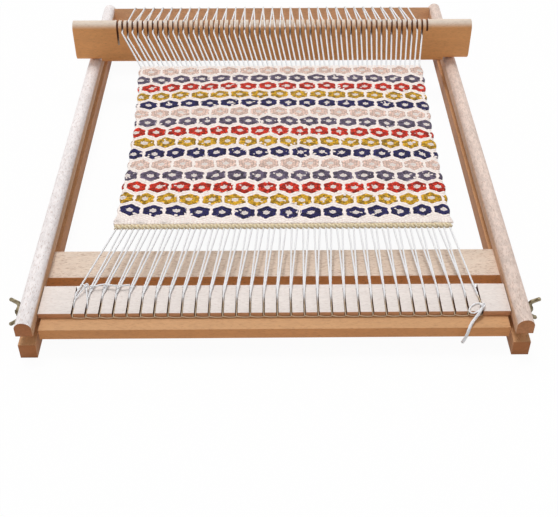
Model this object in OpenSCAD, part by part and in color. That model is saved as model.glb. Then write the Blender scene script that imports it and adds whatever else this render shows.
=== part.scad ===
/* [Side rails] */
// Length of the four side rails, front to back
rail_len = 500; // [460:5:560]
// Width of every rail
rail_w = 12.5; // [11:0.5:16]
// Clear width between the left and right rails
inner_w = 347; // [340:1:360]
// Height of the square lower rails
lower_h = 13; // [11:0.5:16]
// Straight part of the upper rails, below the round top
upper_h = 8; // [6:0.5:10]
// Rise of the round top of the upper rails
crown_h = 5; // [4:0.5:6]

/* [Boards] */
// Thickness of the crossbars and the sliding board, which is also the gap between the rails
board_t = 9; // [8:0.5:10]
// Width of the two fixed crossbars
crossbar_w = 31; // [26:1:36]
// Distance of the front crossbar from the front rail ends
front_crossbar_inset = 63; // [60:1:70]
// Distance of the back crossbar from the rear rail ends
back_crossbar_inset = 54; // [52:1:58]
// Height of the back beam, which stands on edge
back_beam_h = 30; // [26:1:31]
// Thickness of the back beam
back_beam_t = 7.5; // [6:0.5:8]
// Fall of the back beam's top towards the rear
back_beam_fall = 6; // [5:0.5:7]
// Distance of the back beam's rear face from the rail ends
back_beam_inset = 1.5; // [1.5:0.1:4]

/* [Warp teeth] */
// Number of teeth along the front comb and the back beam
tooth_count = 30; // [20:1:30]
// Distance from one tooth to the next
tooth_pitch = 10; // [9:0.5:10]
// Width of a slot in the front comb and the back beam
tooth_slot_w = 1.6; // [1.6:0.1:2.4]
// Sideways offset of the front comb's teeth
comb_shift = 2; // [0:0.5:3]

/* [Tension beam] */
// Depth of the sliding board, front to back
slide_w = 42.5; // [40:0.5:44]
// Distance of the sliding board from the rail ends
slide_inset = 6; // [4:0.5:6]
// Gap between the sliding board and each rail
slide_gap = 2.5; // [1:0.5:4]
// Depth of the comb, front to back
comb_w = 30; // [28:1:32]
// Thickness of the comb
comb_t = 4.5; // [4:0.5:5]
// Depth of the comb's slots
comb_slot_d = 3.6; // [3:0.1:3.8]

/* [Clamps] */
// Diameter of the threaded studs
stud_d = 4; // [3.5:0.5:5]
// Distance of the studs from the rail ends
stud_inset = 30.5; // [28:0.5:34]
// Outer diameter of the washers
washer_d = 15; // [12:0.5:18]
// Thickness of the washers
washer_t = 1; // [0.8:0.1:1.5]
// Width of a wing nut across its wings
nut_span = 21; // [18:0.5:22]
// Height of a wing nut from its seat to the wing tips
nut_h = 10.5; // [9.5:0.5:12]

/* [Heddle bar] */
// Length of the heddle bar
heddle_len = 393; // [388:1:400]
// Thickness of the heddle bar
heddle_t = 15; // [13:1:16]
// Height of the heddle bar where it stands on the rails
heddle_h = 40; // [38:1:42]
// How much deeper the bar is between the rails
heddle_drop = 3; // [2:0.5:3]
// Distance of the bar's middle from the middle of the rails
heddle_y = 131.5; // [100:0.5:140]
// Number of slots in the heddle bar
heddle_slots = 62; // [42:2:62]
// Width of a heddle slot
heddle_slot_w = 2; // [1.8:0.1:2.4]

/* [Yarn and cloth] */
// Diameter of the warp yarn
yarn_d = 1.3; // [1:0.1:1.5]
// Thickness of the cloth
cloth_t = 2.4; // [1.6:0.2:3]
// Place of the cloth's front edge, front to back
cloth_front_y = -144.5; // [-148:0.5:-135]
// Place of the cloth's rear edge, front to back
cloth_rear_y = 68.5; // [60:0.5:70]
// Width of the cloth at its front edge
cloth_front_w = 270; // [260:0.5:280]
// Width of the cloth at its rear edge
cloth_rear_w = 267; // [255:0.5:275]
// Sideways place of the cloth's middle
cloth_mid_x = 7.5; // [0:0.5:10]

/* [Hidden] */
$fn = 48;
wood = [0.80, 0.60, 0.42];
wood_edge = [0.72, 0.50, 0.32];
zinc = [0.62, 0.58, 0.46];
cotton = [0.96, 0.95, 0.92];
weft = [0.78, 0.62, 0.58];
cut = 1;
rail_x = inner_w / 2 + rail_w / 2;
rail_front = -rail_len / 2;
rail_back = rail_len / 2;
gap_z = lower_h;
upper_z = lower_h + board_t;
crown_r = (rail_w * rail_w / 4 + crown_h * crown_h) / (2 * crown_h);
rail_top = upper_z + upper_h + crown_h;
front_crossbar_y = rail_front + front_crossbar_inset + crossbar_w / 2;
back_crossbar_y = rail_back - back_crossbar_inset - crossbar_w / 2;
outer_w = inner_w + 2 * rail_w;
// Screws and their bores
screw_d = 4;
screw_head_d = 7;
screw_head_h = 1.4;
screw_sink = 1;
screw_fit = 0.1;
screw_tip_z = 30;
screw_pitch = 16;
beam_screw_len = 34;
beam_screw_low = lower_h / 2 + 1;
beam_screw_high = upper_z + upper_h / 2 + 0.2;
// Back beam
beam_top = rail_top - 0.2;
beam_foot = beam_top - back_beam_h;
beam_rear = rail_back - back_beam_inset;
beam_front = beam_rear - back_beam_t;
beam_screw_y = beam_rear - back_beam_t / 2;
notch_d = 2;
notch_fall = 7.5;
// Tension beam
slide_front = rail_front + slide_inset;
slide_rear = slide_front + slide_w;
comb_top = upper_z + comb_t;
comb_floor = comb_top - comb_slot_d;
comb_front = slide_rear - comb_w;
comb_gap = 0.4;
stud_y = rail_front + stud_inset;
stud_z = gap_z + board_t / 2;
stud_grip = 25;
stud_end = 193.5;
stud_fit = 0.1;
nut_hub_d = 8;
nut_tip_d = 6.5;
nut_hub_h = 5;
nut_wing_t = 2;
left_nut_turn = 44;
right_nut_turn = 178;
slide_x = inner_w / 2 - slide_gap;
seat_x = outer_w / 2;
nut_x = seat_x + washer_t;
// Heddle bar
heddle_lift = 0.1;
heddle_foot = rail_top + heddle_lift;
heddle_top = heddle_foot + heddle_h;
heddle_pitch = tooth_pitch / 2;
heddle_front = heddle_y - heddle_t / 2;
heddle_rear = heddle_y + heddle_t / 2;
heddle_inner_w = inner_w - 4;
deep_front = 53;
deep_rear = 63;
shallow_front = 67;
shallow_rear = 57;
// Yarn
yarn_sides = 6;
yarn_r = yarn_d / 2;
thread_count = tooth_count * 2;
warp_slope = 0.1167;
warp_front_y = comb_front - yarn_r - 0.2;
comb_lift = 1.5;
cloth_gap = 0.3;
edge_clear = 0.1;
soft_clear = 0.3;
bend_run = 3;
slope_stack = 1.35;
loop_lift = 0.8;
cloth_front_z = comb_top + comb_lift + (cloth_front_y - slide_rear) * warp_slope;
cloth_rear_z = comb_top + comb_lift + (cloth_rear_y - slide_rear) * warp_slope;
// Free ends of the warp, as points by hand from the knot to the tip
left_tail_d = 1.3;
right_tail_d = 2.2;
tail_sides = 8;
knot_d = 4.2;
left_knot_at = [-141, -205.5, 30.4];
left_tail_route = [
  [-138, -205.5, 30.1], [-135, -205.8, 30.1], [-132, -205.3, 30.3], [-129, -204.5, 30.5],
  [-126, -204.2, 30.3], [-123, -204.6, 30.1], [-120, -205.4, 30.3], [-117, -205.9, 30.5],
  [-114, -205.6, 30.3], [-111, -204.9, 30.1], [-108, -204.5, 30]
];
right_knot_at = [152.4, -228, 29];
right_tail_route = [
  [151.5, -230.5, 28.7], [149.4, -233.8, 27.2], [147.4, -235.6, 25.4], [145.4, -237.6, 24.1],
  [143.6, -240, 23.6], [142.2, -242.4, 23.7], [141, -244.8, 23.4], [139.9, -246.8, 21.6],
  [139, -247.8, 18.6], [138.2, -248, 15.6], [137.4, -247.8, 12.8], [136.8, -247.4, 10.6]
];

// A tube of straight runs through a list of points, square to its path at both ends
function unit(v) = v / norm(v);
function heading(p, i) =
  i == 0 ? unit(p[1] - p[0]) :
  i == len(p) - 1 ? unit(p[i] - p[i - 1]) :
  unit(unit(p[i] - p[i - 1]) + unit(p[i + 1] - p[i]));
function side_of(h) = unit(cross(h, abs(h[2]) > 0.9 ? [1, 0, 0] : [0, 0, 1]));
function ring(c, h, r, n) =
  let (s = side_of(h), u = cross(s, h))
  [for (k = [0 : n - 1]) c + r * (cos(360 * k / n) * s + sin(360 * k / n) * u)];
module tube(p, r, n) {
  rings = len(p);
  points = [for (i = [0 : rings - 1]) each ring(p[i], heading(p, i), r, n)];
  sides = [
    for (i = [0 : rings - 2], k = [0 : n - 1])
      let (a = i * n + k, b = i * n + (k + 1) % n)
      each [[a, a + n, b], [b, a + n, b + n]]
  ];
  caps = [
    for (k = [1 : n - 2]) each [
      [0, k, k + 1],
      [(rings - 1) * n, (rings - 1) * n + k + 1, (rings - 1) * n + k]
    ]
  ];
  polyhedron(points = points, faces = concat(sides, caps), convexity = 4);
}

// Holes for the countersunk screws that rise through each crossing of rail and crossbar
module crossing_holes(side, r, low, high) {
  for (y = [front_crossbar_y, back_crossbar_y], row = [-0.5, 0.5])
    translate([side * rail_x, y + row * screw_pitch, low])
      cylinder(h = high - low, r = r);
}

module upper_rail(side) {
  color(wood)
    difference() {
      translate([side * rail_x, rail_back, upper_z])
        rotate([90, 0, 0])
          linear_extrude(rail_len)
            intersection() {
              translate([-rail_w / 2, 0])
                square([rail_w, upper_h + crown_h]);
              translate([0, upper_h + crown_h - crown_r])
                union() {
                  circle(r = crown_r);
                  translate([-crown_r, -2 * crown_r])
                    square([2 * crown_r, 2 * crown_r]);
                }
            }
      crossing_holes(side, screw_d / 2 + screw_fit / 2, upper_z - cut, screw_tip_z + screw_fit);
      beam_screw_hole(side, beam_screw_high);
    }
}

// Hole and head recess for a screw that enters the back beam through a rail
module beam_screw_hole(side, z) {
  translate([side * (seat_x - screw_sink - beam_screw_len - screw_fit), beam_screw_y, z])
    rotate([0, side * 90, 0])
      cylinder(h = beam_screw_len + screw_sink + cut, r = screw_d / 2 + screw_fit / 2);
  translate([side * (seat_x - screw_sink - screw_head_h), beam_screw_y, z])
    rotate([0, side * 90, 0])
      cylinder(h = screw_sink + screw_head_h + cut, r = screw_head_d / 2 + screw_fit / 2);
}

module lower_rail(side) {
  sink = screw_sink + screw_head_h;
  color(wood_edge)
    difference() {
      translate([side * rail_x - rail_w / 2, rail_front, 0])
        cube([rail_w, rail_len, lower_h]);
      crossing_holes(side, screw_d / 2 + screw_fit / 2, -cut, lower_h + cut);
      crossing_holes(side, screw_head_d / 2 + screw_fit / 2, -cut, sink);
      beam_screw_hole(side, beam_screw_low);
    }
}

module crossbar(y) {
  color(wood)
    difference() {
      translate([-outer_w / 2, y - crossbar_w / 2, gap_z])
        cube([outer_w, crossbar_w, board_t]);
      for (side = [-1, 1])
        crossing_holes(side, screw_d / 2 + screw_fit / 2, gap_z - cut, upper_z + cut);
    }
}

module crossbar_screws() {
  color(zinc)
    for (side = [-1, 1], y = [front_crossbar_y, back_crossbar_y], row = [-0.5, 0.5])
      translate([side * rail_x, y + row * screw_pitch, screw_sink])
        union() {
          cylinder(h = screw_head_h, r = screw_head_d / 2);
          cylinder(h = screw_tip_z - screw_sink, r = screw_d / 2);
        }
}

module beam_screws() {
  color(zinc)
    for (side = [-1, 1], z = [beam_screw_low, beam_screw_high])
      translate([side * (seat_x - screw_sink), beam_screw_y, z])
        rotate([0, -side * 90, 0])
          union() {
            cylinder(h = screw_head_h, r = screw_head_d / 2);
            cylinder(h = beam_screw_len, r = screw_d / 2);
          }
}

// The back beam stands on edge and its top falls to the rear, where the loops catch
module back_beam() {
  slot_x0 = -tooth_count * tooth_pitch / 2;
  color(wood)
    difference() {
      translate([-inner_w / 2, 0, 0])
        rotate([90, 0, 90])
          linear_extrude(inner_w)
            polygon([
              [beam_front, beam_foot], [beam_rear, beam_foot],
              [beam_rear, beam_top - back_beam_fall], [beam_front, beam_top]
            ]);
      for (k = [0 : tooth_count])
        translate([slot_x0 + k * tooth_pitch - tooth_slot_w / 2, 0, 0])
          rotate([90, 0, 90])
            linear_extrude(tooth_slot_w)
              polygon([
                [beam_front - cut, beam_top - notch_d], [beam_front, beam_top - notch_d],
                [beam_rear, beam_top - notch_d - notch_fall],
                [beam_rear + cut, beam_top - notch_d - notch_fall],
                [beam_rear + cut, beam_top + cut], [beam_front - cut, beam_top + cut]
              ]);
      for (side = [-1, 1], z = [beam_screw_low, beam_screw_high])
        beam_screw_hole(side, z);
    }
}

// The board that slides between the rails and carries the comb
module tension_board() {
  color(wood_edge)
    difference() {
      translate([-slide_x, slide_front, gap_z])
        cube([2 * slide_x, slide_w, board_t]);
      for (side = [-1, 1])
        translate([side * (slide_x - stud_grip), stud_y, stud_z])
          rotate([0, side * 90, 0])
            cylinder(h = stud_grip + cut, r = stud_d / 2 + stud_fit / 2);
    }
}

module front_comb() {
  comb_x = inner_w / 2 - comb_gap;
  slot_x0 = comb_shift - tooth_count * tooth_pitch / 2;
  color(wood)
    difference() {
      translate([-comb_x, comb_front, upper_z])
        cube([2 * comb_x, comb_w, comb_t]);
      for (k = [0 : tooth_count])
        translate([slot_x0 + k * tooth_pitch - tooth_slot_w / 2, comb_front - cut, comb_floor])
          cube([tooth_slot_w, comb_w + 2 * cut, comb_slot_d + cut]);
    }
}

module clamp_stud(side) {
  color(zinc)
    translate([side * (slide_x - stud_grip + screw_fit), stud_y, stud_z])
      rotate([0, side * 90, 0])
        cylinder(h = stud_end - slide_x + stud_grip, r = stud_d / 2);
}

module washer(side) {
  color(zinc)
    translate([side * seat_x, stud_y, stud_z])
      rotate([0, side * 90, 0])
        difference() {
          cylinder(h = washer_t, r = washer_d / 2);
          translate([0, 0, -cut])
            cylinder(h = washer_t + 2 * cut, r = stud_d / 2 + stud_fit / 2);
        }
}

// A wing nut: a round hub with two wings that lean outwards from the rail
module wing_nut(side, turn) {
  wing_low = 1.2;
  wing_high = nut_hub_h - 0.4;
  wing_root = nut_hub_d / 2 - 1;
  tip_r = nut_span / 2;
  tip_round = 1.5;
  tip_z = nut_h - tip_round;
  elbow_x = tip_r - 2.8;
  elbow_z = wing_low + 1.8;
  color(zinc)
    translate([side * nut_x, stud_y, stud_z])
      rotate([0, side * 90, 0])
        rotate([0, 0, turn])
          difference() {
            union() {
              cylinder(h = nut_hub_h, r1 = nut_hub_d / 2, r2 = nut_tip_d / 2);
              for (way = [0, 180])
                rotate([0, 0, way])
                  translate([0, nut_wing_t / 2, 0])
                    rotate([90, 0, 0])
                      linear_extrude(nut_wing_t)
                        union() {
                          polygon([
                            [wing_root, wing_low], [nut_hub_d / 2 + 1, wing_low],
                            [elbow_x, elbow_z], [tip_r, tip_z], [tip_r - 2 * tip_round, tip_z],
                            [nut_hub_d / 2 + 1, wing_high], [wing_root, wing_high]
                          ]);
                          translate([tip_r - tip_round, tip_z])
                            circle(r = tip_round);
                        }
            }
            translate([0, 0, -cut])
              cylinder(h = nut_h + 2 * cut, r = stud_d / 2 + stud_fit / 2);
          }
}

// Section of the heddle bar, with round long edges, from a foot height to the top
module heddle_section(foot) {
  round_r = heddle_t / 2;
  translate([0, foot + round_r])
    circle(r = round_r);
  translate([0, heddle_top - round_r])
    circle(r = round_r);
  translate([-round_r, foot + round_r])
    square([heddle_t, heddle_top - foot - heddle_t]);
}

module heddle_bar() {
  slot_x0 = -(heddle_slots - 1) * heddle_pitch / 2;
  color(wood_edge)
    difference() {
      union() {
        translate([-heddle_len / 2, heddle_y, 0])
          rotate([90, 0, 90])
            linear_extrude(heddle_len)
              heddle_section(heddle_foot);
        translate([-heddle_inner_w / 2, heddle_y, 0])
          rotate([90, 0, 90])
            linear_extrude(heddle_inner_w)
              heddle_section(heddle_foot - heddle_drop);
      }
      for (k = [0 : heddle_slots - 1])
        translate([slot_x0 + k * heddle_pitch - heddle_slot_w / 2, 0, 0])
          rotate([90, 0, 90])
            linear_extrude(heddle_slot_w)
              heddle_slot(k % 2 == 0);
    }
}

// Side view of one slot: the deep ones fall to the front, the others to the rear
module heddle_slot(deep) {
  front_z = deep ? deep_front : shallow_front;
  rear_z = deep ? deep_rear : shallow_rear;
  step = (rear_z - front_z) / heddle_t * cut;
  polygon([
    [heddle_front - cut, front_z - step], [heddle_rear + cut, rear_z + step],
    [heddle_rear + cut, heddle_top + cut], [heddle_front - cut, heddle_top + cut]
  ]);
}

// Sideways places of warp thread i, from 0 at the left. Two threads share a slot
function tooth_x_of(i) = (floor((i + 1) / 2) - tooth_count / 2) * tooth_pitch;
function heddle_x_of(i) = (i + 0.5 - thread_count / 2) * heddle_pitch;
function cloth_x_of(i, w) = cloth_mid_x + (i + 0.5 - thread_count / 2) * (w - yarn_d) / thread_count;
// The left thread of a loop lies above its neighbour in the slot
function stack_z(i) = i % 2 == 0 ? yarn_d + edge_clear : 0;
function back_to_front(p) = [for (k = [len(p) - 1 : -1 : 0]) p[k]];

// Front half of thread i, from the cloth to the front of its comb slot
function front_run(i) =
  let (x = tooth_x_of(i) + comb_shift, z = comb_floor + yarn_r + edge_clear + stack_z(i))
  [
    [cloth_x_of(i, cloth_front_w), cloth_front_y - cloth_gap, cloth_front_z],
    [x, slide_rear + 1, z + (comb_w + 1) * warp_slope],
    [x, comb_front + 2, z],
    [x, warp_front_y, z]
  ];

module front_warp() {
  color(cotton)
    for (k = [0 : tooth_count - 1])
      tube(concat(front_run(2 * k), back_to_front(front_run(2 * k + 1))), yarn_r, yarn_sides);
}

// Rear half of thread i, from the cloth over its heddle slot to behind the back beam
function rear_run(i) =
  let (
    high = i % 2 == 0,
    x = heddle_x_of(i),
    peak_y = high ? heddle_front : heddle_rear,
    peak_z = (high ? shallow_front : deep_rear) + yarn_r + soft_clear,
    floor_z = beam_top - notch_d + yarn_r + soft_clear + stack_z(i) * slope_stack,
    enter_y = heddle_front - bend_run,
    leave_y = heddle_rear + bend_run,
    rise = (peak_z - cloth_rear_z) / (peak_y - cloth_rear_y),
    fall = (peak_z - floor_z) / (beam_front - peak_y)
  )
  [
    [cloth_x_of(i, cloth_rear_w), cloth_rear_y + cloth_gap, cloth_rear_z],
    [x, enter_y, peak_z - (peak_y - enter_y) * rise],
    [x, peak_y, peak_z],
    [x, leave_y, peak_z - (leave_y - peak_y) * fall],
    [tooth_x_of(i), beam_front, floor_z],
    [tooth_x_of(i), beam_rear + yarn_r + edge_clear, floor_z - notch_fall + loop_lift]
  ];

module rear_warp() {
  color(cotton)
    for (k = [0 : tooth_count - 1])
      tube(concat(rear_run(2 * k), back_to_front(rear_run(2 * k + 1))), yarn_r, yarn_sides);
}

module woven_cloth() {
  half_t = cloth_t / 2;
  color(weft)
    polyhedron(
      points = [
        for (level = [-half_t, half_t]) each [
          [cloth_mid_x - cloth_front_w / 2, cloth_front_y, cloth_front_z + level],
          [cloth_mid_x + cloth_front_w / 2, cloth_front_y, cloth_front_z + level],
          [cloth_mid_x + cloth_rear_w / 2, cloth_rear_y, cloth_rear_z + level],
          [cloth_mid_x - cloth_rear_w / 2, cloth_rear_y, cloth_rear_z + level]
        ]
      ],
      faces = [[0, 1, 2, 3], [7, 6, 5, 4], [0, 4, 5, 1], [1, 5, 6, 2], [2, 6, 7, 3], [3, 7, 4, 0]]
    );
}

module knot(at) {
  color(cotton)
    translate(at)
      sphere(d = knot_d);
}

module tail(route, d) {
  color(cotton)
    tube(route, d / 2, tail_sides);
}

upper_rail(-1);  // left_upper_rail
upper_rail(1);  // right_upper_rail
lower_rail(-1);  // left_lower_rail
lower_rail(1);  // right_lower_rail
crossbar(front_crossbar_y);  // front_crossbar
crossbar(back_crossbar_y);  // back_crossbar
back_beam();
crossbar_screws();
beam_screws();
tension_board();
front_comb();
clamp_stud(-1);  // left_clamp_stud
clamp_stud(1);  // right_clamp_stud
washer(-1);  // left_washer
washer(1);  // right_washer
wing_nut(-1, left_nut_turn);  // left_wing_nut
wing_nut(1, right_nut_turn);  // right_wing_nut
heddle_bar();
front_warp();
rear_warp();
woven_cloth();
knot(left_knot_at);  // left_knot
knot(right_knot_at);  // right_knot
tail(left_tail_route, left_tail_d);  // left_tail
tail(right_tail_route, right_tail_d);  // right_tail
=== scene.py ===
import math

import bpy
import numpy as np
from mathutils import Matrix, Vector


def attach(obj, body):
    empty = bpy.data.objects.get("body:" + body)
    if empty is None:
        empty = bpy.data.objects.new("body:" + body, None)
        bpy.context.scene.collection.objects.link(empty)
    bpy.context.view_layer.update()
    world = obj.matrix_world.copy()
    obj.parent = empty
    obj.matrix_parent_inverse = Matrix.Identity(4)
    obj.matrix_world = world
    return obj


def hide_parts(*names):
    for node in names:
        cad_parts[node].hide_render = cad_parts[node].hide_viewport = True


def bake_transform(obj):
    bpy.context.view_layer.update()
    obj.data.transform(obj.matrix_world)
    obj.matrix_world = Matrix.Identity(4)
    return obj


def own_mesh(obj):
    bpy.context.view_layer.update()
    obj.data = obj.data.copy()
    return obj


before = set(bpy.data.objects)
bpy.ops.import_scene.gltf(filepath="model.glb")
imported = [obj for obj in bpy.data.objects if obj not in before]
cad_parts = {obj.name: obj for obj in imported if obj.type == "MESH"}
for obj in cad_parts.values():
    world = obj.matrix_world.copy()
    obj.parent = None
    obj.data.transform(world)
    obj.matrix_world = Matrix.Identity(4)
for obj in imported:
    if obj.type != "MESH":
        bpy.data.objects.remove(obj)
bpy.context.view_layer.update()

# --- Camera -----------------------------------------------------------------
# A short telephoto view from in front of the loom, looking down at it over the
# weaver's shoulder. The focal length is in pixels of a picture 558 wide.
photo_width = 558
focal_in_pixels = 950.5
sensor_width = 36.0
camera_place = (-0.00145, -0.7310, 0.5097)
camera_turn = (math.radians(49.20), 0.0, math.radians(-0.53))

bpy.ops.object.camera_add(location=camera_place, rotation=camera_turn)
camera = bpy.context.active_object
camera.data.sensor_width = sensor_width
camera.data.lens = focal_in_pixels * sensor_width / photo_width
camera.data.clip_start = 0.01
camera.data.clip_end = 20.0
bpy.context.scene.camera = camera


# --- Free ends of the warp --------------------------------------------------
# White two-ply cotton warp, about 1.3 mm thick, knotted at the left and right of
# the comb. A short cut end lies at each knot, and the right one is two or three
# threads laid together.
class Field:
    """A shader socket to reckon with: each operator adds its Math node."""

    def __init__(self, finish, socket):
        self.finish = finish
        self.socket = socket

    def math(self, operation, *others):
        inputs = dict(enumerate((self, *others)))
        return self.finish.node("ShaderNodeMath", {"operation": operation}, inputs)

    def __add__(self, other):
        return self.math("ADD", other)

    def __sub__(self, other):
        return self.math("SUBTRACT", other)

    def __rsub__(self, other):
        return self.math("MULTIPLY_ADD", -1.0, other)

    def __mul__(self, other):
        return self.math("MULTIPLY", other)

    def __truediv__(self, other):
        return self.math("DIVIDE", other)

    def __pow__(self, other):
        return self.math("POWER", other)

    def __mod__(self, other):
        return self.math("FLOORED_MODULO", other)

    def __lt__(self, other):
        return self.math("LESS_THAN", other)

    def __gt__(self, other):
        return self.math("GREATER_THAN", other)

    def __abs__(self):
        return self.math("ABSOLUTE")

    __radd__ = __add__
    __rmul__ = __mul__


class Finish:
    """One material, whose nodes are added by node() and read by its shader."""

    def __init__(self, name, **constants):
        self.material = bpy.data.materials.new(name)
        self.material.use_nodes = True
        self.tree = self.material.node_tree
        self.shader = self.tree.nodes["Principled BSDF"]
        for socket, value in constants.items():
            self.feed(self.shader.inputs[socket.replace("_", " ")], value)

    def feed(self, socket, value):
        if isinstance(value, Field):
            self.tree.links.new(value.socket, socket)
        else:
            socket.default_value = value

    def node(self, kind, settings=None, inputs=None, out=0):
        made = self.tree.nodes.new(kind)
        for key, value in (settings or {}).items():
            if key == "stops":
                self.set_stops(made.color_ramp, value)
            else:
                setattr(made, key, value)
        for key, value in (inputs or {}).items():
            self.feed(made.inputs[key], value)
        return Field(self, made.outputs[out])

    def set_stops(self, ramp, stops):
        ramp.interpolation = "CONSTANT"
        while len(ramp.elements) < len(stops):
            ramp.elements.new(1.0)
        for element, (place, colour) in zip(ramp.elements, stops):
            element.position = place
            element.color = colour

    def mix(self, share, low, high):
        settings = {"data_type": "RGBA"}
        return self.node("ShaderNodeMix", settings, {0: share, 6: low, 7: high}, 2)

    def shade(self, colour, share):
        settings = {"data_type": "RGBA", "blend_type": "MULTIPLY"}
        return self.node("ShaderNodeMix", settings, {0: 1.0, 6: colour, 7: share}, 2)

    def ease(self, value, low, high):
        settings = {"interpolation_type": "SMOOTHSTEP"}
        return self.node("ShaderNodeMapRange", settings, {"Value": value, 1: low, 2: high})

    def noise(self, place, scale, detail=2.0, distortion=0.0):
        inputs = {"Vector": place, "Scale": scale, "Detail": detail, "Distortion": distortion}
        return self.node("ShaderNodeTexNoise", None, inputs)

    def stretch(self, place, scale):
        return self.node("ShaderNodeMapping", None, {"Vector": place, "Scale": scale})

    def parts(self, vector):
        split = self.node("ShaderNodeSeparateXYZ", None, {0: vector})
        outputs = split.socket.node.outputs
        return [Field(self, outputs[axis]) for axis in range(3)]

    def show(self, colour, roughness=None, relief=None, depth=0.0002):
        self.feed(self.shader.inputs["Base Color"], colour)
        if roughness is not None:
            self.feed(self.shader.inputs["Roughness"], roughness)
        if relief is not None:
            bump = self.node("ShaderNodeBump", None, {"Height": relief, "Distance": depth})
            self.feed(self.shader.inputs["Normal"], bump)
        return self.material


def srgb(red, green, blue):
    """A colour as a painter's chart gives it, in the renderer's linear light."""
    parts = [part / 255 for part in (red, green, blue)]
    return (*[p / 12.92 if p < 0.04 else ((p + 0.055) / 1.055) ** 2.4 for p in parts], 1.0)


# A tan painted shade for the yarn in the comb's slots and round its teeth, where the comb shades
# it.
slot_shade_cotton = srgb(226, 202, 170)


def cotton_finish(name, lit, shaded, groove_shade_weight):
    """Matt spun yarn with fine fibres across its plies, painted shade between them, and a tan
    painted shade in the comb's slots and round its teeth.
    """
    cotton = Finish(name, Roughness=0.92, Specular_IOR_Level=0.2, Sheen_Weight=0.15)
    groove = cotton.node("ShaderNodeAttribute", {"attribute_name": "groove"}, out="Fac")
    place = cotton.node("ShaderNodeTexCoord", out="Object")
    fibre = cotton.noise(place, scale=2600.0, detail=3.0)
    worn = cotton.node("ShaderNodeAttribute", {"attribute_name": "worn"}, out="Fac")
    # Painted shade: the grooves between the plies go from the lit colour towards the shaded one.
    depth = groove * groove_shade_weight + fibre * 0.3
    # The yarn in the comb's slots and round its teeth takes the tan painted shade.
    colour = cotton.mix(worn, cotton.mix(depth, lit, shaded), slot_shade_cotton)
    return cotton.show(colour, relief=1 - depth, depth=0.00015)


yarn_radius = 0.0008
ply_waist = 0.86
ply_turn = 0.008
yarn_step = 0.001
warp_white = cotton_finish(
    "cotton warp", lit=srgb(255, 255, 255), shaded=srgb(234, 234, 242), groove_shade_weight=0.4
)


def rounded(corners, reach):
    """Turns each corner of a route into a short curve."""
    corners = [Vector(corner) for corner in corners]
    route = [corners[0]]
    for before, corner, after in zip(corners, corners[1:], corners[2:]):
        back, on = before - corner, after - corner
        cut = min(reach, 0.45 * back.length, 0.45 * on.length)
        start, end = corner + back.normalized() * cut, corner + on.normalized() * cut
        for share in (0.0, 0.25, 0.5, 0.75, 1.0):
            route.append(start.lerp(corner, share).lerp(corner.lerp(end, share), share))
    return [*route, corners[-1]]


def evenly(route, step):
    """Points at an even step along a route."""
    spans = [(b - a).length for a, b in zip(route, route[1:])]
    reached = np.cumsum([0.0, *spans])
    marks = np.linspace(0.0, reached[-1], max(2, round(reached[-1] / step)) + 1)
    axes = np.array([tuple(point) for point in route]).T
    return [Vector(point) for point in zip(*[np.interp(marks, reached, axis) for axis in axes])]


def new_piece(name, points, faces, material):
    """A mesh piece with its place in its points."""
    mesh = bpy.data.meshes.new(name)
    mesh.from_pydata(points, [], faces)
    mesh.materials.append(material)
    mesh.shade_smooth()
    piece = bpy.data.objects.new(name, mesh)
    bpy.context.scene.collection.objects.link(piece)
    return piece


slot_pinch = 0.55


def full_width(point):
    """Yarn that nothing squeezes."""
    return 1.0


def spin_yarn(
    name, routes, material, radius=yarn_radius, sides=8, step=yarn_step, pinch=full_width
):
    """One mesh of two-ply yarns: two lobes that wind round each route."""
    points, faces, grooves, slot_shading = [], [], [], []
    for route in routes:
        line = evenly(route, step)
        upright = Vector((0.0, 0.0, 1.0))
        for index, point in enumerate(line):
            ahead = line[min(index + 1, len(line) - 1)] - line[max(index - 1, 0)]
            ahead.normalize()
            upright = (upright - ahead * upright.dot(ahead)).normalized()
            across = ahead.cross(upright)
            first = len(points)
            for corner in range(sides):
                angle = math.tau * corner / sides
                lobe = abs(math.cos(angle))
                reach = radius * pinch(point) * (ply_waist + (1 - ply_waist) * lobe)
                turned = angle + math.tau * index * step / ply_turn
                outward = upright * math.cos(turned) + across * math.sin(turned)
                points.append(point + outward * reach)
                grooves.append(1 - lobe)
                # Painted shade: full where the slots squeeze the yarn and round the comb's teeth,
                # none where the yarn runs free.
                slot_shading.append((1 - pinch(point)) / (1 - slot_pinch))
            if index == 0:
                faces.append([first + corner for corner in reversed(range(sides))])
                continue
            for corner in range(sides):
                near, beside = first + corner, first + (corner + 1) % sides
                faces.append([near - sides, beside - sides, beside, near])
        faces.append([first + corner for corner in range(sides)])
    piece = new_piece(name, points, faces, material)
    piece.data.attributes.new("groove", "FLOAT", "POINT").data.foreach_set("value", grooves)
    piece.data.attributes.new("worn", "FLOAT", "POINT").data.foreach_set("value", slot_shading)
    return piece


def in_metres(route):
    """A route that is written down in millimetres."""
    return [Vector(point) / 1000 for point in route]


knot_steps = 48
knot_height = 1.3


def overhand_knot(at, size):
    """A three-lobed loop, pulled tight."""
    turns = [math.tau * step / knot_steps for step in range(knot_steps + 1)]
    lobes = [
        (
            math.sin(turn) + 2 * math.sin(2 * turn),
            math.cos(turn) - 2 * math.cos(2 * turn),
            -knot_height * math.sin(3 * turn),
        )
        for turn in turns
    ]
    return [Vector(at) / 1000 + Vector(lobe) * size / 1000 for lobe in lobes]


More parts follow.
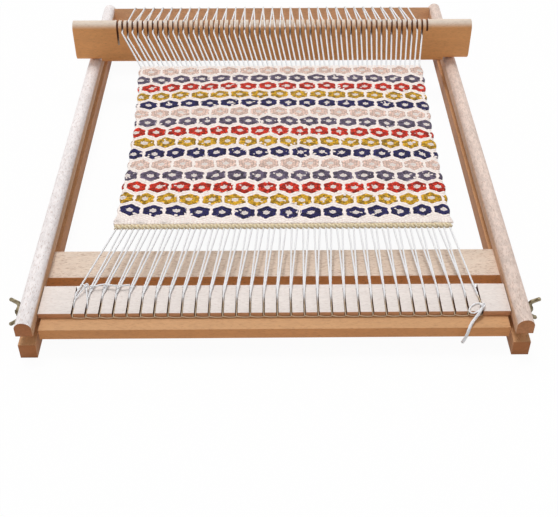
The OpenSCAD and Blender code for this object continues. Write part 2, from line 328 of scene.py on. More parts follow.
left_knot_at = (-141, -205.5, 30.4)
left_tail_route = in_metres([
    (-138, -205.5, 30.1), (-135, -205.8, 30.1), (-132, -205.3, 30.3), (-129, -204.5, 30.5),
    (-126, -204.2, 30.3), (-123, -204.6, 30.1), (-120, -205.4, 30.3), (-117, -205.9, 30.5),
    (-114, -205.6, 30.3), (-111, -204.9, 30.1), (-108, -204.5, 30),
])
left_knot_strands = [
    in_metres([
        (-141.5, -206, 30.2), (-147.6, -217.4, 27.4), (-148, -219.6, 26.6), (-148, -223, 24),
    ]),
    in_metres([
        (-140.6, -206.4, 30.2), (-138.2, -219, 27.4), (-138, -221, 26.6), (-138, -224, 24),
    ]),
]
right_knot_at = (152.4, -228, 29)
right_tail_route = in_metres([
    (151.5, -230.5, 28.7), (149.4, -233.8, 27.2), (147.4, -235.6, 25.4), (145.4, -237.6, 24.1),
    (143.6, -240, 23.6), (142.2, -242.4, 23.7), (141, -244.8, 23.4), (139.9, -246.8, 21.6),
    (139, -247.8, 18.6), (138.2, -248, 15.6), (137.4, -247.8, 12.8), (136.8, -247.4, 10.6),
])
right_knot_strands = [in_metres([
    (152.6, -227, 28.6), (152, -223.9, 27.3), (148.3, -223.7, 27.2), (144.1, -227, 27.2),
    (141.6, -231.8, 27.1), (144.2, -234.2, 26.6), (148.6, -232.4, 27.1), (152, -229, 28),
])]
tail_radius = {"left": yarn_radius, "right": 0.0013}
tail_bend = 0.002
knot_size = 0.66
knot_yarn = 0.0006
knot_step = 0.0006
knot_bend = 0.003


def length_of(route):
    """How long a route is, from its points."""
    return sum((b - a).length for a, b in zip(route, route[1:]))


for side, knot_at, route, strands, lay in (
    ("left", left_knot_at, left_tail_route, left_knot_strands, "loose"),
    ("right", right_knot_at, right_tail_route, right_knot_strands, "hanging"),
):
    tail_line = rounded(route, tail_bend)
    tail = spin_yarn(f"{side}_cut_end", [tail_line], warp_white, tail_radius[side])
    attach(tail, "tension_beam")
    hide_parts(f"{side}_tail")
    length_of(route)
    evenly(route, yarn_step)
    lobes = overhand_knot(knot_at, knot_size)
    strands = [lobes, *[rounded(strand, knot_bend) for strand in strands]]
    knot = spin_yarn(f"{side}_warp_knot", strands, warp_white, knot_yarn, step=knot_step)
    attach(knot, "tension_beam")
    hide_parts(f"{side}_knot")


# --- Side rails -------------------------------------------------------------
# Four beech rails, two on each side with a gap between them. The upper ones
# are round on top. All are planed, sanded and oiled, and lie along the loom.
ray_brown = srgb(150, 100, 66)


def beech_finish(
    name, grain, lit_top, side, end, streak=0.1, fleck=0.5, mottle=0.05,
    top_light_rise=(0.25, 0.95), shaded_below=-1.0,
):
    """Beech: short dark ray flecks and faint streaks along the grain.

    Faces that look up take the top colour, and the sides and eased edges take the warmer side
    colour: painted light from above. The ends are darker end grain.
    Two heights give how far up a face looks where the painted top light starts and where it is
    complete.
    Below the given height, a face that looks up is the floor of a saw cut, and it takes the end
    colour as painted shade.
    """
    wood = Finish(name, Specular_IOR_Level=0.3)
    place = wood.node("ShaderNodeTexCoord", out="Object")
    facing = wood.parts(wood.node("ShaderNodeTexCoord", out="Normal"))
    along = "xyz".index(grain)

    def lengthwise(slow, quick):
        return wood.stretch(place, [slow if axis == along else quick for axis in range(3)])

    streaks = wood.noise(lengthwise(slow=9.0, quick=110.0), 1.0, detail=4.0, distortion=0.6)
    fibres = wood.noise(lengthwise(slow=60.0, quick=2400.0), 1.0)
    ray_noise = wood.noise(lengthwise(slow=330.0, quick=1700.0), 1.0, detail=1.0)
    rays = wood.ease(ray_noise, low=0.57, high=0.67)
    patches = wood.noise(place, scale=14.0)
    blotch_noise = wood.noise(lengthwise(slow=160.0, quick=420.0), 1.0, detail=3.0)
    blotches = wood.ease(blotch_noise, low=0.4, high=0.62) - 0.5
    # Painted light: faces that look up take the top colour, and the others take the warmer side
    # colour.
    painted_top_light = wood.ease(facing[2], *top_light_rise)
    ends_and_slot_shade = wood.ease(abs(facing[along]), low=0.75, high=0.95)
    # Painted shade: below the given height, faces that look up are slot floors, and they take the
    # end colour.
    ends_and_slot_shade = ends_and_slot_shade.math("MAXIMUM", painted_top_light * (wood.parts(place)[2] < shaded_below))
    colour = wood.mix(ends_and_slot_shade, wood.mix(painted_top_light, side, lit_top), end)
    tone = 1 + (streaks - 0.5) * streak * 2 + (patches - 0.5) * streak + (fibres - 0.5) * 0.08
    tone = tone + blotches * mottle
    depth = rays * fleck * (1 - ends_and_slot_shade)
    colour = wood.shade(colour, tone)
    colour = wood.mix(depth * 0.45, colour, ray_brown)
    roughness = 0.5 + fibres * 0.2
    return wood.show(colour, roughness, relief=fibres * 0.5 - depth * 0.5, depth=0.00012)


weld_reach = 0.000002
sharp_angle = math.radians(30)
smooth_angle = math.radians(25)


def whittle(piece, width):
    """Welds a solid's triangles into flat faces and eases its sharp edges."""
    bpy.ops.object.select_all(action="DESELECT")
    piece.select_set(True)
    bpy.context.view_layer.objects.active = piece
    bpy.ops.mesh.customdata_custom_splitnormals_clear()
    bpy.ops.object.mode_set(mode="EDIT")
    bpy.ops.mesh.select_all(action="SELECT")
    bpy.ops.mesh.remove_doubles(threshold=weld_reach)
    bpy.ops.mesh.dissolve_limited(angle_limit=math.radians(1))
    bpy.ops.object.mode_set(mode="OBJECT")
    bevel = piece.modifiers.new("eased edges", "BEVEL")
    bevel.width = width
    bevel.segments = 2
    bevel.limit_method = "ANGLE"
    bevel.angle_limit = sharp_angle
    bpy.ops.object.modifier_apply(modifier=bevel.name)
    bpy.ops.object.shade_smooth_by_angle(angle=smooth_angle)


def copy_of(node, name, material):
    """A new piece with a node's solid, which it stands for."""
    piece = bpy.data.objects.new(name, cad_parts[node].data.copy())
    bpy.context.scene.collection.objects.link(piece)
    piece.data.materials.clear()
    piece.data.materials.append(material)
    return piece


def wooden_piece(node, name, material, body, ease):
    """A node's board or rail in wood, with its edges eased, on its body."""
    piece = copy_of(node, name, material)
    whittle(piece, ease)
    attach(piece, body)
    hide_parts(node)
    return piece


rail_ease = 0.0006
# How far up the upper rails' round crowns must look to take their painted top light.
crown_light_rise = (0.05, 0.55)
# The two upper rails differ as painted light from the left: the left rail's top is paler, and the
# right rail's inner side is lighter.
left_beech_painted_light = beech_finish(
    "left rail beech", "y", srgb(246, 240, 240), srgb(206, 166, 130), srgb(166, 104, 62),
    streak=0.12, fleck=0.75, mottle=0.12, top_light_rise=crown_light_rise,
)
right_beech_painted_light = beech_finish(
    "right rail beech", "y", srgb(229, 209, 198), srgb(218, 178, 146), srgb(176, 118, 76),
    streak=0.16, fleck=0.75, mottle=0.16, top_light_rise=crown_light_rise,
)
# The lower rails' darker top colour is painted shade under the upper rails.
shaded_lower_beech = beech_finish(
    "lower rail beech", "y", srgb(208, 158, 112), srgb(194, 140, 98), srgb(168, 106, 62),
    fleck=0.9, mottle=0.08,
)
for side, upper_beech in (("left", left_beech_painted_light), ("right", right_beech_painted_light)):
    for level, beech in (("upper", upper_beech), ("lower", shaded_lower_beech)):
        name = f"{side}_{level}_rail"
        wooden_piece(name, f"{name}_wood", beech, "frame", rail_ease)


# --- Crossbars and back beam ------------------------------------------------
# Flat beech boards. The crossbars are held in the gap between the rails, and
# the back beam stands on edge between their ends, with the warp's slots in it.
board_ease = 0.0004
beam_ease = 0.0002
board_beech = beech_finish(
    "board beech", "x", srgb(227, 208, 191), srgb(232, 166, 104), srgb(172, 112, 66), fleck=1.0
)
beam_beech = beech_finish(
    "back beam beech", "x", srgb(236, 206, 178), srgb(248, 204, 162), srgb(172, 112, 66),
    streak=0.08,
)
for crossbar in ("front_crossbar", "back_crossbar"):
    wooden_piece(crossbar, f"{crossbar}_wood", board_beech, "frame", board_ease)
wooden_piece("back_beam", "back_beam_wood", beam_beech, "frame", beam_ease)


# --- Screws -----------------------------------------------------------------
# Zinc-plated steel wood screws with a cross recess: eight from below through
# the rails' crossings, and four through the rails' sides into the back beam.
def zinc_finish(name, bright, dull):
    """Plated steel: a dull yellow-grey skin with brighter rubbed patches."""
    zinc = Finish(name, Metallic=0.85)
    place = zinc.node("ShaderNodeTexCoord", out="Object")
    cloud = zinc.noise(place, scale=260.0, detail=4.0)
    scratch = zinc.noise(zinc.stretch(place, (900.0, 3000.0, 3000.0)), 1.0)
    colour = zinc.mix(zinc.ease(cloud, low=0.35, high=0.7), bright, dull)
    roughness = 0.3 + cloud * 0.2 + scratch * 0.1
    return zinc.show(colour, roughness, relief=scratch, depth=0.00004)


plated_steel = zinc_finish("zinc plate", bright=srgb(160, 148, 122), dull=srgb(98, 87, 64))
screw_head_radius = 0.0035
screw_head_height = 0.0014
screw_head_ease = 0.0004
screw_shank_radius = 0.002
screw_shank_inset = 0.00025
recess_long = 0.0036
recess_wide = 0.0009
recess_deep = 0.0018


def apply_modifier(piece, kind, **settings):
    """Adds a modifier to a piece and applies it."""
    bpy.ops.object.select_all(action="DESELECT")
    piece.select_set(True)
    bpy.context.view_layer.objects.active = piece
    modifier = piece.modifiers.new(kind, kind)
    for key, value in settings.items():
        setattr(modifier, key, value)
    bpy.ops.object.modifier_apply(modifier=modifier.name)


def wood_screw(name, length, head, direction):
    """A screw whose head's face is at a point, and whose shank goes along a direction."""
    bpy.ops.mesh.primitive_cylinder_add(
        vertices=32, radius=screw_head_radius, depth=screw_head_height,
        location=(0, 0, screw_head_height / 2),
    )
    screw = bpy.context.active_object
    screw.name = name
    bpy.ops.object.transform_apply()
    apply_modifier(screw, "BEVEL", width=screw_head_ease, segments=3, limit_method="ANGLE")
    bpy.ops.mesh.primitive_cylinder_add(
        vertices=16, radius=screw_shank_radius, depth=length - 2 * screw_shank_inset,
        location=(0, 0, length / 2 + screw_shank_inset),
    )
    shank = bpy.context.active_object
    bpy.ops.object.transform_apply()
    apply_modifier(screw, "BOOLEAN", object=shank, operation="UNION")
    bpy.data.objects.remove(shank)
    for turn in (0.0, math.pi / 2):
        bpy.ops.mesh.primitive_cube_add(size=1, location=(0, 0, 0), rotation=(0, 0, turn))
        slot = bpy.context.active_object
        slot.scale = (recess_long, recess_wide, recess_deep)
        bpy.ops.object.transform_apply()
        apply_modifier(screw, "BOOLEAN", object=slot, operation="DIFFERENCE")
        bpy.data.objects.remove(slot)
    screw.rotation_mode = "QUATERNION"
    screw.rotation_quaternion = Vector(direction).to_track_quat("Z", "Y")
    screw.location = head
    bpy.ops.object.select_all(action="DESELECT")
    screw.select_set(True)
    bpy.context.view_layer.objects.active = screw
    bpy.ops.object.transform_apply()
    screw.data.materials.append(plated_steel)
    return screw


def screw_set(name, node, screws):
    """Joins like screws into the piece that stands for their node."""
    bpy.ops.object.select_all(action="DESELECT")
    for screw in screws:
        screw.select_set(True)
    bpy.context.view_layer.objects.active = screws[0]
    bpy.ops.object.join()
    piece = bpy.context.active_object
    piece.name = name
    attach(piece, "frame")
    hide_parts(node)


rail_middle = 0.17975
crossing_places = (-0.1715, 0.1805)
screw_row = 0.008
screw_sink = 0.001
crossbar_screw_length = 0.029
crossbar_screw_heads = [
    (side * rail_middle, crossing + row * screw_row, screw_sink)
    for side in (-1, 1) for crossing in crossing_places for row in (-1, 1)
]
screw_set("crossbar_wood_screws", "crossbar_screws", [
    wood_screw("screw", crossbar_screw_length, head, (0, 0, 1)) for head in crossbar_screw_heads
])
rail_outside = 0.186
beam_screw_y = 0.24475
beam_screw_heights = (0.0075, 0.0262)
beam_screw_length = 0.034
screw_set("beam_wood_screws", "beam_screws", [
    wood_screw(
        "screw", beam_screw_length,
        (side * (rail_outside - screw_sink), beam_screw_y, height), (-side, 0, 0),
    )
    for side in (-1, 1) for height in beam_screw_heights
])


# --- Tension beam -----------------------------------------------------------
# A beech board that slides between the rails to tighten the warp, with a comb
# of 31 sawn slots glued flat on it.
comb_ease = 0.0003
# The comb's dark end colour is painted shade in its slots: on their walls, which are end grain,
# and on their floors. The comb's two ends take it too.
comb_beech = beech_finish(
    "comb beech", "x", srgb(232, 223, 218), srgb(206, 152, 112), srgb(96, 60, 42),
    streak=0.07, fleck=0.4, shaded_below=0.0255,
)
slide_beech = beech_finish(
    "sliding board beech", "x", srgb(207, 158, 112), srgb(209, 145, 91), srgb(164, 104, 60),
    streak=0.09, fleck=0.6,
)
for board, beech, slot in (
    ("tension_board", slide_beech, "beech_board"),
    ("front_comb", comb_beech, "beech_comb"),
):
    wooden_piece(board, f"{board}_wood", beech, "tension_beam", comb_ease)


# --- Clamps -----------------------------------------------------------------
# A threaded steel stud in each end of the sliding board, with a washer and a
# cast wing nut outside the rails. Tightened, they hold the beam in place.
clamp_y = -0.2195
clamp_z = 0.0175
stud_start = 0.1461
stud_end = 0.1935
thread_outer = 0.002
thread_inner = 0.0017
thread_pitch = 0.0007
thread_steps = 24
thread_weld = 0.000001
washer_ease = 0.00015
nut_voxel = 0.00028
nut_passes = 8


def threaded_stud(side):
    """A rod whose thread is one zigzag profile, turned round and along it."""
    name = f"{side}_threaded_stud"
    way = -1 if side == "left" else 1
    turns = int((stud_end - stud_start) / thread_pitch)
    profile = [
        (thread_inner, 0, 0), (thread_outer, 0, thread_pitch / 2), (thread_inner, 0, thread_pitch),
    ]
    stud = new_piece(name, profile, [], plated_steel)
    stud.data.clear_geometry()
    stud.data.from_pydata(profile, [(0, 1), (1, 2)], [])
    apply_modifier(
        stud, "SCREW", axis="Z", angle=math.tau, screw_offset=thread_pitch,
        iterations=turns - 1, steps=thread_steps, render_steps=thread_steps,
        use_merge_vertices=True, merge_threshold=thread_weld,
    )
    bpy.ops.object.mode_set(mode="EDIT")
    bpy.ops.mesh.select_all(action="SELECT")
    bpy.ops.mesh.remove_doubles(threshold=thread_weld)
    bpy.ops.mesh.select_all(action="DESELECT")
    bpy.ops.mesh.select_non_manifold()
    bpy.ops.mesh.fill_holes(sides=0)
    bpy.ops.mesh.select_all(action="SELECT")
    bpy.ops.mesh.normals_make_consistent(inside=False)
    bpy.ops.object.mode_set(mode="OBJECT")
    stud.rotation_euler = (0, way * math.pi / 2, 0)
    stud.location = (way * stud_start, clamp_y, clamp_z)
    bpy.ops.object.transform_apply()
    bpy.ops.object.shade_smooth_by_angle(angle=math.radians(35))
    return stud


def cast_wing_nut(side):
    """The nut's solid, melted a little so that hub and wings flow together."""
    nut = copy_of(f"{side}_wing_nut", f"{side}_cast_wing_nut", plated_steel)
    apply_modifier(nut, "WELD", merge_threshold=weld_reach)
    apply_modifier(nut, "REMESH", mode="VOXEL", voxel_size=nut_voxel, use_smooth_shade=True)
    apply_modifier(nut, "SMOOTH", factor=0.5, iterations=nut_passes)
    return nut


for side in ("left", "right"):
    stud = threaded_stud(side)
    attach(stud, "tension_beam")
    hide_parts(f"{side}_clamp_stud")
    washer = copy_of(f"{side}_washer", f"{side}_flat_washer", plated_steel)
    whittle(washer, washer_ease)
    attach(washer, "tension_beam")
    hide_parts(f"{side}_washer")
    nut = cast_wing_nut(side)
    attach(nut, f"{side}_nut")
    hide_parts(f"{side}_wing_nut")


# --- Heddle bar -------------------------------------------------------------
# A thick beech bar that stands on the upper rails. Its slots are deep and
# shallow in turn, so that turning it lifts every other thread.
heddle_ease = 0.00025
heddle_beech = beech_finish(
    "heddle beech", "x", srgb(228, 212, 196), srgb(228, 162, 102), srgb(140, 88, 54),
    streak=0.12, fleck=0.45,
)
wooden_piece("heddle_bar", "heddle_bar_wood", heddle_beech, "heddle", heddle_ease)


# --- Warp -------------------------------------------------------------------
# One long cotton thread, wound sixty times between the comb and the back beam.
# Two threads share a slot, a low one and a high one, and each loop goes round one
# tooth. Each thread drops into its slot at its own place behind the comb's front.
thread_count = 60
tooth_pitch = 0.01
comb_shift = 0.002
heddle_pitch = 0.005
cloth_middle = 0.0075
cloth_front_y = -0.1445
cloth_rear_y = 0.0685
cloth_front_width = 0.270
cloth_rear_width = 0.267
yarn_width = 0.0013
comb_front_y = -0.2315
comb_rear_y = -0.2015
comb_floor_z = 0.0229
comb_top_z = 0.0265
low_in_slot = 0.00045
high_in_slot = 0.0012
high_drop = 0.0195
low_drop = 0.0255
last_drop = 0.008
drop_run = 0.005
front_lead = 0.001
front_dip = 0.0004
front_bend = 0.0018
clearance = 0.0001
cloth_tuck = 0.003
board_top_z = 0.022
warp_slope = 0.1167
cloth_level = 0.028


def tooth_x(thread):
    """Where the slot of a thread is, with two threads to a slot."""
    return ((thread + 1) // 2 - thread_count / 4) * tooth_pitch


def cloth_x(thread, width):
    """Where a thread enters the cloth, whose threads lie evenly."""
    place = (thread + 0.5 - thread_count / 2) / thread_count
    return cloth_middle + place * (width - yarn_width)


def cloth_z(y):
    """Height of the stretched cloth, which rises towards the heddle bar."""
    return cloth_level + (y - comb_rear_y) * warp_slope


def front_half(thread):
    """From the cloth's front edge over the comb's rear and down into one of its slots."""
    x = tooth_x(thread) + comb_shift
    high = thread % 2 == 0
    last = thread == thread_count - 1
    drop_y = comb_front_y + (high_drop if high else last_drop if last else low_drop)
    z = comb_floor_z + (high_in_slot if high else low_in_slot)
    return [
        (cloth_x(thread, cloth_front_width), cloth_front_y + cloth_tuck, cloth_z(cloth_front_y)),
        (x, drop_y, comb_top_z + yarn_radius + clearance),
        (x, drop_y - drop_run, z),
        (x, comb_front_y + front_lead, z),
        (x, comb_front_y - yarn_radius, z - front_dip),
    ]


def front_loop(thread):
    """Two threads and the loop that sags round the tooth between them."""
    left, right = front_half(thread), front_half(thread + 1)
    middle_x = (left[-1][0] + right[-1][0]) / 2
    sag = (middle_x, comb_front_y - yarn_radius - 2 * clearance, board_top_z + yarn_radius)
    return rounded([*left, sag, *reversed(right)], front_bend)


pinch_starts_y = -0.219
pinch_ends_y = -0.214


def pinched_in_slot(point):
    """The slots squeeze the yarn, and it stays thin round the comb's teeth."""
    return float(np.interp(point.y, (pinch_starts_y, pinch_ends_y), (slot_pinch, 1.0)))


heddle_front_y = 0.124
heddle_rear_y = 0.139
shallow_peak_z = 0.067
deep_peak_z = 0.063
over_edge = 0.0003
beam_front_y = 0.241
beam_rear_y = 0.2485
notch_floor_z = 0.0328
notch_fall = 0.0075
slope_stack = 0.00189
bend_run = 0.003
loop_lift = 0.0008
rear_bend = 0.0015
rear_yarn_radius = 0.0009


def rear_half(thread):
    """From the cloth over a slot of the heddle bar to behind the back beam."""
    high = thread % 2 == 0
    x = (thread + 0.5 - thread_count / 2) * heddle_pitch
    peak_y = heddle_front_y if high else heddle_rear_y
    peak_z = (shallow_peak_z if high else deep_peak_z) + yarn_radius + over_edge
    floor_z = notch_floor_z + yarn_radius + over_edge + (slope_stack if high else 0)
    rise = (peak_z - cloth_z(cloth_rear_y)) / (peak_y - cloth_rear_y)
    fall = (peak_z - floor_z) / (beam_front_y - peak_y)
    enter_y, leave_y = heddle_front_y - bend_run, heddle_rear_y + bend_run
    return [
        (cloth_x(thread, cloth_rear_width), cloth_rear_y - cloth_tuck, cloth_z(cloth_rear_y)),
        (x, enter_y, peak_z - (peak_y - enter_y) * rise),
        (x, peak_y, peak_z),
        (x, leave_y, peak_z - (leave_y - peak_y) * fall),
        (tooth_x(thread), beam_front_y, floor_z),
        (tooth_x(thread), beam_rear_y + yarn_radius + clearance, floor_z - notch_fall + loop_lift),
    ]


def rear_loop(thread):
    """Two threads and the loop round the back beam's tooth between them."""
    return rounded([*rear_half(thread), *reversed(rear_half(thread + 1))], rear_bend)


first_threads = range(0, thread_count, 2)
front_loops = map(front_loop, first_threads)
front_yarns = spin_yarn("front_warp_yarns", front_loops, warp_white, pinch=pinched_in_slot)
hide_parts("front_warp")
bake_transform(front_yarns)
rear_loops = map(rear_loop, first_threads)
rear_yarns = spin_yarn("rear_warp_yarns", rear_loops, warp_white, rear_yarn_radius, sides=6)
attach(rear_yarns, "frame")
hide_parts("rear_warp")
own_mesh(rear_yarns)


# --- Cloth ------------------------------------------------------------------
# The started cloth: cotton and wool weft beaten close over the warp, in fifteen
# rows of small rings on a cream ground, with a twined cord at its front edge.
# Pitches, half sizes, sags and the bow are in millimetres, along the cloth.
ring_pitch = 17.8
row_pitch = 13.15
row_count = 15
ring_count = 15
ring_half_width = 8.0
ring_half_depth = 5.7
hole_share = 0.33
lobe_count = 6
lobe_share = 0.08
first_row_y = 0.0595
sag_rows = (0, 2, 6, 7, 9, 14)
left_sag = (0.5, -0.3, -4.6, -4.8, -2.4, -1.8)
bow_rise = 6.8
bow_rows = 26.5
bow_start = 1.2
row_drift = 0.08
ring_lag = 0.18
ring_lag_turn = 0.75
even_row_start = 0.66
odd_row_lead = 0.46
ring_waver = ((0.035, 0.7, 1.9, 0.0), (0.02, 4.1, -2.3, 0.0))
row_waver = ((0.030, 2.7, 0.0, 1.3), (0.022, 5.3, 3.1, 0.0))


def waver(terms, ring, row):
    """Unevenness of hand-laid rows: each term is a size, two rates and a start."""
    return sum(
        size * np.sin(across * ring + along * row + start)
        for size, across, along, start in terms
    )


def weave_place(sideways, y):
    """Where a point lies in the pattern, in rings across and in rows from the rear."""
    swell = 1 - (2 * sideways) ** 2
    row = (first_row_y - y) * 1000 / row_pitch
    # The bow and the left side's sag depend on the row they move, so they are found in turns.
    for _ in range(3):
        bow = bow_rise * np.sin(math.tau * (row + bow_start) / bow_rows) * swell
        bow = bow - np.clip(-2 * sideways, 0, 1) * np.interp(row, sag_rows, left_sag)
        row = ((first_row_y - y) * 1000 + bow) / row_pitch
    ring = (sideways + 0.5) * ring_count + row_drift * row / row_count
    ring = ring - ring_lag * np.sin(ring_lag_turn * math.pi * (sideways + 0.5))
    ring = ring + waver(ring_waver, ring, row)
    return ring, row + waver(row_waver, ring, row)


def ring_offset(ring, row, own_row):
    """Distance from the nearest ring centre of one row, as shares of a ring's half size."""
    shift = even_row_start - odd_row_lead * (own_row % 2)
    across = ((ring - shift + 0.5) % 1 - 0.5) * ring_pitch / ring_half_width
    along = (row - own_row) * row_pitch / ring_half_depth
    return across, along


ring_rise = 0.0004
ring_foot = 1.05
ring_bank = 0.12
hole_fall = 0.0001
hole_bank = 0.1


def cloth_relief(ring, row):
    """Height over the ground: the rings stand proud and their centres dip."""
    nearest = np.floor(row + 0.5)
    best = 0
    for own_row in (nearest - 1, nearest, nearest + 1):
        across, along = ring_offset(ring, row, own_row)
        lobes = 1 + lobe_share * np.cos(lobe_count * np.arctan2(along, across))
        reach = np.hypot(across, along) * lobes
        on = (own_row > -0.5) & (own_row < row_count - 0.5)
        proud = ring_rise * np.clip((ring_foot - reach) / ring_bank, 0, 1)
        dip = (ring_rise + hole_fall) * np.clip((hole_share - reach) / hole_bank + 0.5, 0, 1)
        height = np.where(on, proud - dip, 0)
        best = np.where(abs(height) > abs(best), height, best)
    return best


edge_cord_depth = 0.0054
cloth_half = 0.00085
left_draw_in = 0.0042
right_draw_in = 0.0018
selvedge_scallop = 0.0006
selvedge_waver = 0.0004
cloth_ripple = 0.00025


def cloth_layer(across_count, along_count, face):
    """One side of the cloth as rows of points, with their places in the pattern."""
    sideways, lengthways = np.meshgrid(
        np.linspace(-0.5, 0.5, across_count + 1), np.linspace(0, 1, along_count + 1)
    )
    woven_length = cloth_rear_y - cloth_front_y - edge_cord_depth
    y = cloth_front_y + edge_cord_depth + lengthways * woven_length
    width = cloth_front_width + (cloth_rear_width - cloth_front_width) * lengthways
    x = cloth_middle + sideways * width
    drawn = left_draw_in * (0.5 - sideways) - right_draw_in * (0.5 + sideways)
    x = x + drawn * np.sin(math.pi * lengthways)
    ring, row = weave_place(sideways, y)
    wobble = selvedge_scallop * np.cos(math.tau * row) + selvedge_waver * np.sin(1.7 * row)
    near_edge = np.clip(abs(sideways) * 20 - 9, 0, 1)
    x = x + wobble * near_edge * np.sign(sideways)
    rim = np.clip((0.5 - abs(sideways)) * across_count / 2, 0.25, 1)
    height = (cloth_half + cloth_relief(ring, row)) * rim ** 0.5
    ripple = cloth_ripple * np.sin(9 * sideways + 4 * lengthways) * (1 - abs(2 * lengthways - 1))
    z = cloth_z(y) + face * height + ripple
    places = np.stack([ring, row, 0 * row], -1).reshape(-1, 3)
    return np.stack([x, y, z], -1).reshape(-1, 3), places


def grid_faces(across_count, along_count, start, flip):
    """Four-sided faces over a grid of points."""
    faces = []
    for row in range(along_count):
        for column in range(across_count):
            a = start + row * (across_count + 1) + column
            face = [a, a + 1, a + across_count + 2, a + across_count + 1]
            faces.append(face[::-1] if flip else face)
    return faces


def rim_of(across_count, along_count, start):
    """The points round the edge of a grid, in order."""
    wide, last = across_count + 1, along_count * (across_count + 1)
    front = [start + k for k in range(across_count)]
    right = [start + across_count + k * wide for k in range(along_count)]
    rear = [start + last + across_count - k for k in range(across_count)]
    left = [start + last - k * wide for k in range(along_count)]
    return front + right + rear + left


across_steps = 240
along_steps = 300
top_points, top_weave = cloth_layer(across_steps, along_steps, 1)
under_points, under_weave = cloth_layer(across_steps // 2, along_steps // 2, -1)
faces = grid_faces(across_steps, along_steps, 0, False)
faces += grid_faces(across_steps // 2, along_steps // 2, len(top_points), True)
top_rim = rim_of(across_steps, along_steps, 0)
under_rim = rim_of(across_steps // 2, along_steps // 2, len(top_points))
for index, corner in enumerate(under_rim):
    onward = under_rim[(index + 1) % len(under_rim)]
    fine = [top_rim[(2 * index + k) % len(top_rim)] for k in (2, 1, 0)]
    faces.append([corner, onward, *fine])


cream_weft = srgb(255, 243, 237)
ring_wefts = (
    srgb(240, 208, 194), srgb(100, 89, 110), srgb(200, 47, 25), srgb(204, 157, 38),
    srgb(37, 34, 86),
)
stitches_round = 18
stitch_bands = 3
ring_fray = 0.14
bare_share = 0.025
# Painted shade in the creases between stitches, on the ground and on the rings, which is taken out
# again in the holes.
ground_stitch_shade = 0.3
ring_stitch_shade = 0.5
hole_shade_lift = 0.3
# The painted highlight on each stitch's crown, which the holes take all over.
crown_highlight = 1.12
ground_variety = 0.12
ring_variety = 1.1
pale_evenness = 0.7


def cloth_finish():
    """Weft in short stitches laid round the rings, each a little off in tone, with painted light:
    each stitch is lighter on its crown and darker in its creases, and the holes are evenly light.
    """
    cloth = Finish("ring cloth", Roughness=0.95, Specular_IOR_Level=0.15, Sheen_Weight=0.2)
    place = cloth.node("ShaderNodeAttribute", {"attribute_name": "weave"}, out="Vector")
    ring, row, _ = cloth.parts(place)
    nearest = (row + 0.5).math("FLOOR")
    beside = nearest + (row > nearest) * 2 - 1

    def offset(own_row):
        across, along = ring_offset(ring, row, own_row)
        return across, along, (across * across + along * along).math("SQRT")

    own, other = offset(nearest), offset(beside)
    swap = other[2] < own[2]
    across, along, oval = (a + (b - a) * swap for a, b in zip(own, other))
    own_row = nearest + (beside - nearest) * swap

    turn = along.math("ARCTAN2", across)
    reach = oval * (1 + (turn * lobe_count).math("COSINE") * lobe_share)
    band = reach * stitch_bands
    stitch = turn * (stitches_round / math.tau) + band.math("FLOOR") * 0.5
    # Every stitch has a chance of its own, by its place round its ring and by its row.
    seed = cloth.node(
        "ShaderNodeCombineXYZ", None,
        {
            0: stitch.math("FLOOR") + (ring * 0.5).math("FLOOR") * 29,
            1: band.math("FLOOR") + own_row * 13,
            2: (ring * 2).math("FLOOR"),
        },
    )
    chance = cloth.node("ShaderNodeTexWhiteNoise", {"noise_dimensions": "3D"}, {"Vector": seed})
    edge = reach + (chance - 0.5) * ring_fray
    on = (edge < 1) * (edge > hole_share) * (own_row > -0.5) * (own_row < row_count - 0.5)
    on = on * (chance > bare_share)

    stripe = (own_row % len(ring_wefts)) / len(ring_wefts) + 0.1
    evenness = 1 - (stripe < 0.2) * pale_evenness
    stops = [(place / len(ring_wefts), weft) for place, weft in enumerate(ring_wefts)]
    colour = cloth.node("ShaderNodeValToRGB", {"stops": stops}, {"Fac": stripe})
    crown_in, crown_round = (
        (abs((count * math.pi).math("SINE")) ** 0.6) * 0.5 for count in (band, stitch)
    )
    crown = crown_in + crown_round
    colour = cloth.mix(on, cream_weft, colour)
    hole = reach < hole_share
    # Painted light and shade: the crown of each stitch is lit and its creases are shaded, and the
    # holes are evenly light.
    stitch_shade = ground_stitch_shade + on * ring_stitch_shade - hole * hole_shade_lift
    variety = ground_variety + on * evenness * ring_variety
    tone = (crown_highlight - stitch_shade + crown * stitch_shade) * (1 + (chance - 0.5) * variety)
    return cloth.show(cloth.shade(colour, tone), relief=crown, depth=0.0006)


points = np.concatenate([top_points, under_points])
cloth = new_piece("ring_cloth", points.tolist(), faces, cloth_finish())
weave = cloth.data.attributes.new("weave", "FLOAT_VECTOR", "POINT")
weave.data.foreach_set("vector", np.concatenate([top_weave, under_weave]).ravel())

cord_reach = 0.0013
cord_rise = 0.0008
cord_strand = 0.0014
cord_step = 0.0008
cord_inset = 0.001
cord_points = 24 * thread_count
edge_cord_y = cloth_front_y + cord_reach + cord_strand


def twined_strand(phase):
    """One of the two strands that cross between every two warp threads."""
    strand = []
    for step in range(cord_points + 1):
        share = step / cord_points
        angle = math.tau * share * thread_count / 2 + phase
        x = cloth_middle + (share - 0.5) * (cloth_front_width - 2 * cord_inset)
        y = edge_cord_y + cord_reach * math.cos(angle)
        strand.append(Vector((x, y, cloth_z(edge_cord_y) + cord_rise * math.sin(angle))))
    return strand


tan_cotton = cotton_finish(
    "tan edge cord", lit=srgb(255, 243, 214), shaded=srgb(206, 182, 138), groove_shade_weight=0.6
)
edge_cord = spin_yarn(
    "cloth_edge_cord", [twined_strand(0), twined_strand(math.pi)], tan_cotton,
    radius=cord_strand, step=cord_step,
)
for piece in (cloth, edge_cord):
    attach(piece, "frame")
    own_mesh(piece)
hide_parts("woven_cloth")


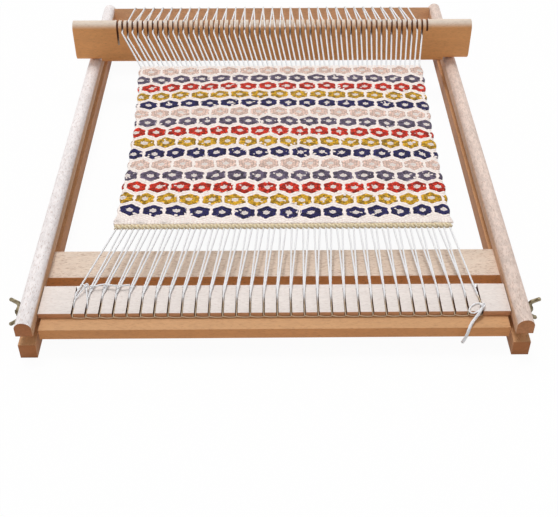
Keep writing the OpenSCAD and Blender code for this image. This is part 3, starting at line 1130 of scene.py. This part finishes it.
# --- Floor and light --------------------------------------------------------
# A plain white table and a white surround. A wide lamp and a narrower one stand
# high behind the loom, a little to its left, and the room's light fills the shadows.
floor_size = 6.0
floor_gap = 0.0002
white_paint = Finish("white table", Base_Color=(0.9, 0.9, 0.9, 1.0), Roughness=0.9)
bpy.ops.mesh.primitive_plane_add(size=floor_size, location=(0, 0, -floor_gap))
floor = bpy.context.active_object
floor.name = "table_top"
floor.data.materials.append(white_paint.material)


def seen_directly(finish):
    """1 where the camera, a reflection or clear glass shows a surface."""
    path = finish.node("ShaderNodeLightPath").socket.node.outputs
    seen = Field(finish, path["Is Camera Ray"]) + Field(finish, path["Is Glossy Ray"])
    return (seen + Field(finish, path["Is Transmission Ray"])).math("MINIMUM", 1.0)


white_share = 0.96
glow = white_paint.node("ShaderNodeEmission", None, {"Color": (1, 1, 1, 1), "Strength": 1.0})
seen = seen_directly(white_paint) * white_share
mixer = white_paint.node("ShaderNodeMixShader", None, {0: seen, 2: glow}).socket.node
table_output = white_paint.tree.nodes["Material Output"]
white_paint.tree.links.new(white_paint.shader.outputs[0], mixer.inputs[1])
white_paint.tree.links.new(mixer.outputs[0], table_output.inputs[0])

# The room's light is made of the world's own nodes, with a finish's methods.
world = bpy.data.worlds.new("white room")
bpy.context.scene.world = world
world.use_nodes = True
fill_level = 0.46
room = Finish.__new__(Finish)
room.tree = world.node_tree
background = world.node_tree.nodes["Background"]
room.feed(background.inputs["Color"], (1.0, 1.0, 1.0, 1.0))
room.feed(background.inputs["Strength"], fill_level + seen_directly(room) * (1 - fill_level))

lamp_tint = (1.0, 0.985, 0.965)
wide_lamp = (0.93, 40, (-24, -8, 0))
narrow_lamp = (0.83, 9, (-16, -10, 0))
for energy, spread, tilt in (wide_lamp, narrow_lamp):
    bpy.ops.object.light_add(type="SUN", rotation=[math.radians(part) for part in tilt])
    lamp = bpy.context.active_object
    lamp.data.energy = energy
    lamp.data.angle = math.radians(spread)
    lamp.data.color = lamp_tint
bpy.context.scene.view_settings.view_transform = "Standard"
